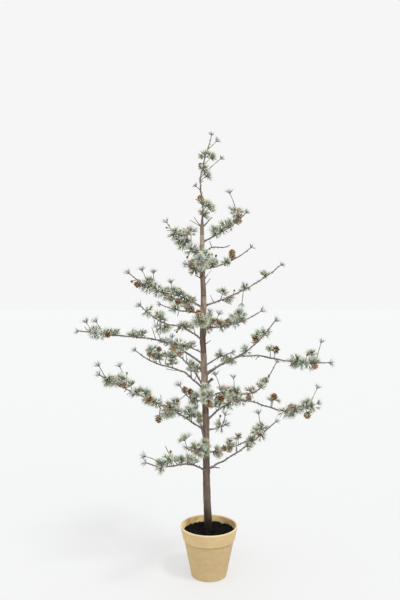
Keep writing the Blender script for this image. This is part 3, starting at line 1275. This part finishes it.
def make_pot(materials):
    """The pot, turned about its axis: inside, rounded lip, band, body and foot."""
    band_low = POT_HEIGHT - BAND_HEIGHT
    lip = POT_HEIGHT - LIP_ROUND
    body_at_band = POT_BASE_RADIUS + POT_SLOPE * band_low

    def straight(start, end, step=POT_RING):
        count = max(1, round(math.dist(start, end) / step))
        return [(start[0] + (end[0] - start[0]) * i / count, start[1] + (end[1] - start[1]) * i / count)
                for i in range(count)]

    inner_top = (pot_inner(POT_HEIGHT), lip)
    outer_top = (POT_RIM_RADIUS, lip)
    band_foot = (body_at_band + BAND_PROUD, band_low + 0.002)
    body_top = (body_at_band - POT_SLOPE * 0.005, band_low - 0.005)
    base = (POT_BASE_RADIUS, BASE_ROUND)
    inside = straight((0.004, POT_FLOOR), (pot_inner(POT_FLOOR), POT_FLOOR), 0.02)
    inside += straight((pot_inner(POT_FLOOR), POT_FLOOR), inner_top)
    rim = arc(inner_top[0] + LIP_ROUND, lip, LIP_ROUND, 180, 90) + arc(outer_top[0] - LIP_ROUND, lip, LIP_ROUND, 90, 0)
    band = straight(outer_top, band_foot) + arc(band_foot[0] - 0.002, band_foot[1], 0.002, 0, -90, 4)
    groove = [(body_at_band - GROOVE_DEPTH, band_low), (body_at_band - GROOVE_DEPTH, band_low - 0.001),
              (body_at_band - 0.3 * GROOVE_DEPTH, band_low - 0.0025)]
    body = straight(body_top, base) + arc(base[0] - BASE_ROUND, BASE_ROUND, BASE_ROUND, 0, -90)
    under = straight((base[0] - BASE_ROUND - 0.001, 0), (0.004, 0), 0.02)
    profile = inside + rim + band + groove + body + under
    slots = [1] * len(inside) + [2] * len(rim) + [3] * (len(band) - 1) + [4] * (len(groove) + 1)
    slots += [0] * (len(profile) - len(slots))
    rings = []
    for number, (radius, height) in enumerate(profile):
        ring = []
        for k in range(POT_SIDES):
            a = 2 * math.pi * k / POT_SIDES
            x, y = math.cos(a), math.sin(a)
            out = radius
            if 0.002 < height:
                turning = grain(x * 0.5, y * 0.5, height / TURNING_SPACING)
                out += TURNING_DEPTH * turning + POT_SWELL * grain(x * 1.3, y * 1.3, height / 0.08)
                out += TURNING_DEPTH * 0.6 * grain(x * 14, y * 14, height / 0.008)
            ring.append((out * x, out * y, height))
        rings.append(ring)
    points = np.array(rings).reshape(-1, 3)
    centres = np.array([(0, 0, POT_FLOOR), (0, 0, 0)])
    walls = grid_triangles(len(rings), POT_SIDES)
    caps = fans(len(rings), POT_SIDES)
    face_slots = np.concatenate([np.tile(np.repeat(slots[:-1], POT_SIDES), 2), np.full(2 * POT_SIDES, 1)])
    pile = Pile()
    pile.add(np.concatenate([points, centres]), np.concatenate([walls, caps])[:, ::-1], face_slots)
    piece_from("pot_shell", pile, materials, ["pot"])


def make_studio():
    """Plain pale floor, soft light from all round, a key from the front right and a low fill."""
    floor_mesh = bpy.data.meshes.new("floor")
    half = 60.0
    floor_mesh.from_pydata([(-half, -half, 0), (half, -half, 0), (half, half, 0), (-half, half, 0)], [], [(0, 1, 2, 3)])
    floor = bpy.data.objects.new("floor", floor_mesh)
    bpy.context.scene.collection.objects.link(floor)
    paper = plain("floor_matt_paper", "#a0a1a1", 0.95, 0.1)
    paper.node_tree.nodes["Principled BSDF"].inputs["Emission Color"].default_value = (1, 1, 1, 1)
    paper.node_tree.nodes["Principled BSDF"].inputs["Emission Strength"].default_value = 0.460
    floor_mesh.materials.append(paper)
    world = bpy.data.worlds.new("studio")
    bpy.context.scene.world = world
    world.use_nodes = True
    world.node_tree.nodes["Background"].inputs["Color"].default_value = linear("#f6f6f6")
    world.node_tree.nodes["Background"].inputs["Strength"].default_value = 1.0
    for name, energy, angle, place in SUNS:
        sun = bpy.data.lights.new(name, "SUN")
        sun.energy = energy
        sun.angle = math.radians(angle)
        lamp = bpy.data.objects.new(name, sun)
        lamp.rotation_euler = (-Vector(place)).to_track_quat("-Z", "Y").to_euler()
        bpy.context.scene.collection.objects.link(lamp)
    camera = bpy.data.cameras.new("camera")
    camera.sensor_fit = "VERTICAL"
    camera.sensor_height = CAMERA_SENSOR
    camera.lens = CAMERA_SENSOR * CAMERA_PIXELS_PER_TANGENT / PHOTO_HEIGHT
    holder = bpy.data.objects.new("camera", camera)
    holder.location = CAMERA_PLACE
    holder.rotation_euler = (math.radians(90), 0, 0)
    bpy.context.scene.collection.objects.link(holder)
    bpy.context.scene.camera = holder
    bpy.context.scene.view_settings.view_transform = "Standard"


def main():
    make_studio()
    trunk_barks = [wrapped_bark("crepe_paper_bark_dark", 0.16, (
        (0.30, "#453a32"), (0.62, "#7b6c5e"), (0.44, "#5e5146"), (0.54, "#6c5e52"), (0.74, "#8f7d69")), "#231d19")]
    trunk_barks.append(wrapped_bark("crepe_paper_bark_middling", 0.16, (
        (0.30, "#574a40"), (0.62, "#8f8070"), (0.44, "#74665a"), (0.54, "#817265"), (0.74, "#a6937b"))))
    trunk_barks.append(wrapped_bark("crepe_paper_bark_light", 0.16, (
        (0.30, "#66584c"), (0.62, "#a39280"), (0.44, "#867668"), (0.54, "#948373"), (0.74, "#bca58a"))))
    trunk_barks.append(wrapped_bark("crepe_paper_bark_pale", 0.16, (
        (0.30, "#85766a"), (0.62, "#bfad9b"), (0.44, "#a39284"), (0.54, "#b09f8f"), (0.74, "#d0bca4"))))
    trunk_barks.append(plain("bark_joint_in_shadow", "#3d342e", 0.9, 0.1))
    limb_bark = wrapped_bark("crepe_paper_bark_of_boughs", 1.0, (
        (0.28, "#544c48"), (0.66, "#9a9188"), (0.42, "#6d6660"), (0.52, "#807870")))
    woods = [plain("twisted_paper_twig_grey", "#837c76", 0.85), plain("twisted_paper_twig_brown", "#887a6a", 0.85),
             plain("twisted_paper_twig_dark", "#6a625c", 0.85)]
    needle_colours = []
    for name, body, frost, _ in FAMILIES:
        needle_colours.append(plain("moulded_pe_needles_" + name, body, 0.55, 0.35, 0.15))
        needle_colours.append(plain("frosted_needle_ends_" + name, frost, 0.8, 0.2, 0.4))
    needle_colours.append(plain("paper_sheath", "#5b523f", 0.85))
    needle_colours.append(plain("paper_sheath_ends", "#6a6a4e", 0.85))
    cone_colours = [plain("cone_core", "#43311f", 0.9), plain("varnished_cone_scale", "#8a6446", 0.6),
                    plain("varnished_cone_scale_dark", "#6c5140", 0.6), plain("varnished_cone_scale_light", "#a27c50", 0.6),
                    plain("cone_scale_rim", "#c4a37d", 0.7)]
    shreds = [plain("dyed_shreds", "#141312", 0.95, 0.15), plain("dyed_shreds_grey", "#232220", 0.95, 0.15),
              plain("dyed_shreds_black", "#0b0b0a", 0.95, 0.15)]
    pot_finish = [
        fibre_clay("sand_fibre_clay", ((0.25, "#bba073"), (0.75, "#ccb48a"), (0.50, "#c3aa7e")), 0.04),
        fibre_clay("sand_fibre_clay_stained_inside", ((0.32, "#b3905a"), (0.70, "#f3dcaa"), (0.5, "#dfc088")), 0.06,
                   left=1.30, right=0.68),
        fibre_clay("sand_fibre_clay_rubbed_lip", ((0.30, "#d5c299"), (0.70, "#e6d6b0")), 0.03),
        fibre_clay("sand_fibre_clay_of_band", ((0.25, "#caac7e"), (0.75, "#d9c294"), (0.50, "#d1b788")), 0.04),
        fibre_clay("sand_fibre_clay_in_groove", ((0.25, "#b09569"), (0.75, "#bfa578")), 0.04),
    ]
    limbs, leader, masses = plan_tree()
    make_pot(pot_finish)
    make_bed(shreds)
    make_trunk(limbs, trunk_barks)
    make_stubs(woods)
    piles = {}
    for storey, first, last in STOREYS:
        piles[storey] = (Pile(), Pile(), Pile(), [])
    for number, limb in enumerate(limbs):
        storey = next(name for name, first, last in STOREYS if first <= number < last)
        needles, twigs, cones, nodes = piles[storey]
        pile = Pile()
        make_limb(pile, limb, 700 + number, low=LIMB_START / limb.length)
        piece_from(f"bark_{limb.name}", pile, [limb_bark], [f"bough_{limb.name}"] if limb.bare > 0 else [])
        make_spurs(twigs, limb, 700 + number, 0.02 / limb.length, WOOD)
        if limb.name in masses:
            dress_mass(limb, masses[limb.name], 900 + number, needles, twigs, cones)
            nodes.append(f"foliage_{limb.name}")
        rng = random.Random(number)
        for bough, share, over, height in BUDS:
            if bough == number + 1:
                make_bud(twigs, cones, limb.point(share), limb.point(over) + UP * height, rng)
        for bough, share, over, height in SPIKES:
            if bough == number + 1:
                make_spike(twigs, limb.point(share), limb.point(over) + UP * height, rng)
    needles, twigs, cones, nodes = piles["upper"]
    pile = Pile()
    make_limb(pile, leader, 799, low=-0.015, knotted=False)
    piece_from("bark_leader", pile, [limb_bark], ["leader"])
    make_spurs(twigs, leader, 799, 0.05, WOOD)
    dress_mass(leader, masses["leader"], 999, needles, twigs, cones)
    nodes.append("foliage_leader")
    for storey, (needles, twigs, cones, nodes) in piles.items():
        piece_from("needles_" + storey, needles, needle_colours, nodes)
        piece_from("twigs_" + storey, twigs, woods)
        piece_from("cones_" + storey, cones, cone_colours)
        print(storey, [sum(len(t) for t in pile.triangles) for pile in (needles, twigs, cones)])


main()
